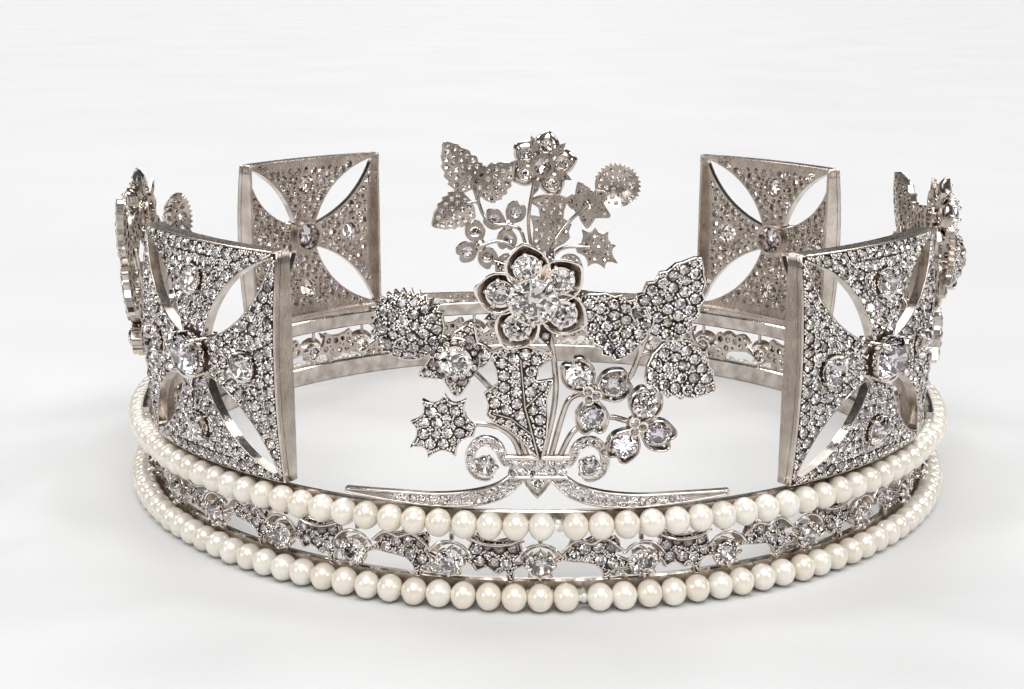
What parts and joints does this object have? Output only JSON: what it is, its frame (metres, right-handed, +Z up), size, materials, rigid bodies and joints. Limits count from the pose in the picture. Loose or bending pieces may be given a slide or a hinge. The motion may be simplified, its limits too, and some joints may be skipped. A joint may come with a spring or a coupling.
{
  "type": "tiara",
  "caption": "Full circlet tiara: pierced silver band with claw-set stones between two pearl rows, topped by paved square crosses and rose, thistle and shamrock sprays.",
  "frame": {"origin": "centre of the ring at the level of the lower rail's bottom face, which rests on a surface", "axes": "+Z up through the ring, -Y towards the front spray, +X to the right seen from the front"},
  "size_m": [0.1964, 0.1964, 0.0677],
  "materials": {
    "silver": "bright polished",
    "pearl": "nacre lustre",
    "crystal": "faceted"
  },
  "bodies": {
    "root": {"band": "silver", "upper_pearls": "pearl", "lower_pearls": "pearl", "cross_front_right": "silver", "cross_back_right": "silver", "cross_back_left": "silver", "cross_front_left": "silver", "cross_stone_front_right": "crystal", "cross_stone_back_right": "crystal", "cross_stone_back_left": "crystal", "cross_stone_front_left": "crystal", "spray_front": "silver", "spray_right": "silver", "spray_back": "silver", "spray_left": "silver", "rose_stone_front": "crystal", "rose_stone_right": "crystal", "rose_stone_back": "crystal", "rose_stone_left": "crystal", "band_stone_01": "crystal", "band_stone_02": "crystal", "band_stone_03": "crystal", "band_stone_04": "crystal", "band_stone_05": "crystal", "band_stone_06": "crystal", "band_stone_07": "crystal", "band_stone_08": "crystal", "band_stone_09": "crystal", "band_stone_10": "crystal", "band_stone_11": "crystal", "band_stone_12": "crystal", "band_stone_13": "crystal", "band_stone_14": "crystal", "band_stone_15": "crystal", "band_stone_16": "crystal", "band_stone_17": "crystal", "band_stone_18": "crystal", "band_stone_19": "crystal", "band_stone_20": "crystal", "band_stone_21": "crystal", "band_stone_22": "crystal", "band_stone_23": "crystal", "band_stone_24": "crystal", "band_stone_25": "crystal", "band_stone_26": "crystal", "band_stone_27": "crystal", "band_stone_28": "crystal", "band_stone_29": "crystal", "band_stone_30": "crystal", "band_stone_31": "crystal", "band_stone_32": "crystal"}
  },
  "joints": []
}
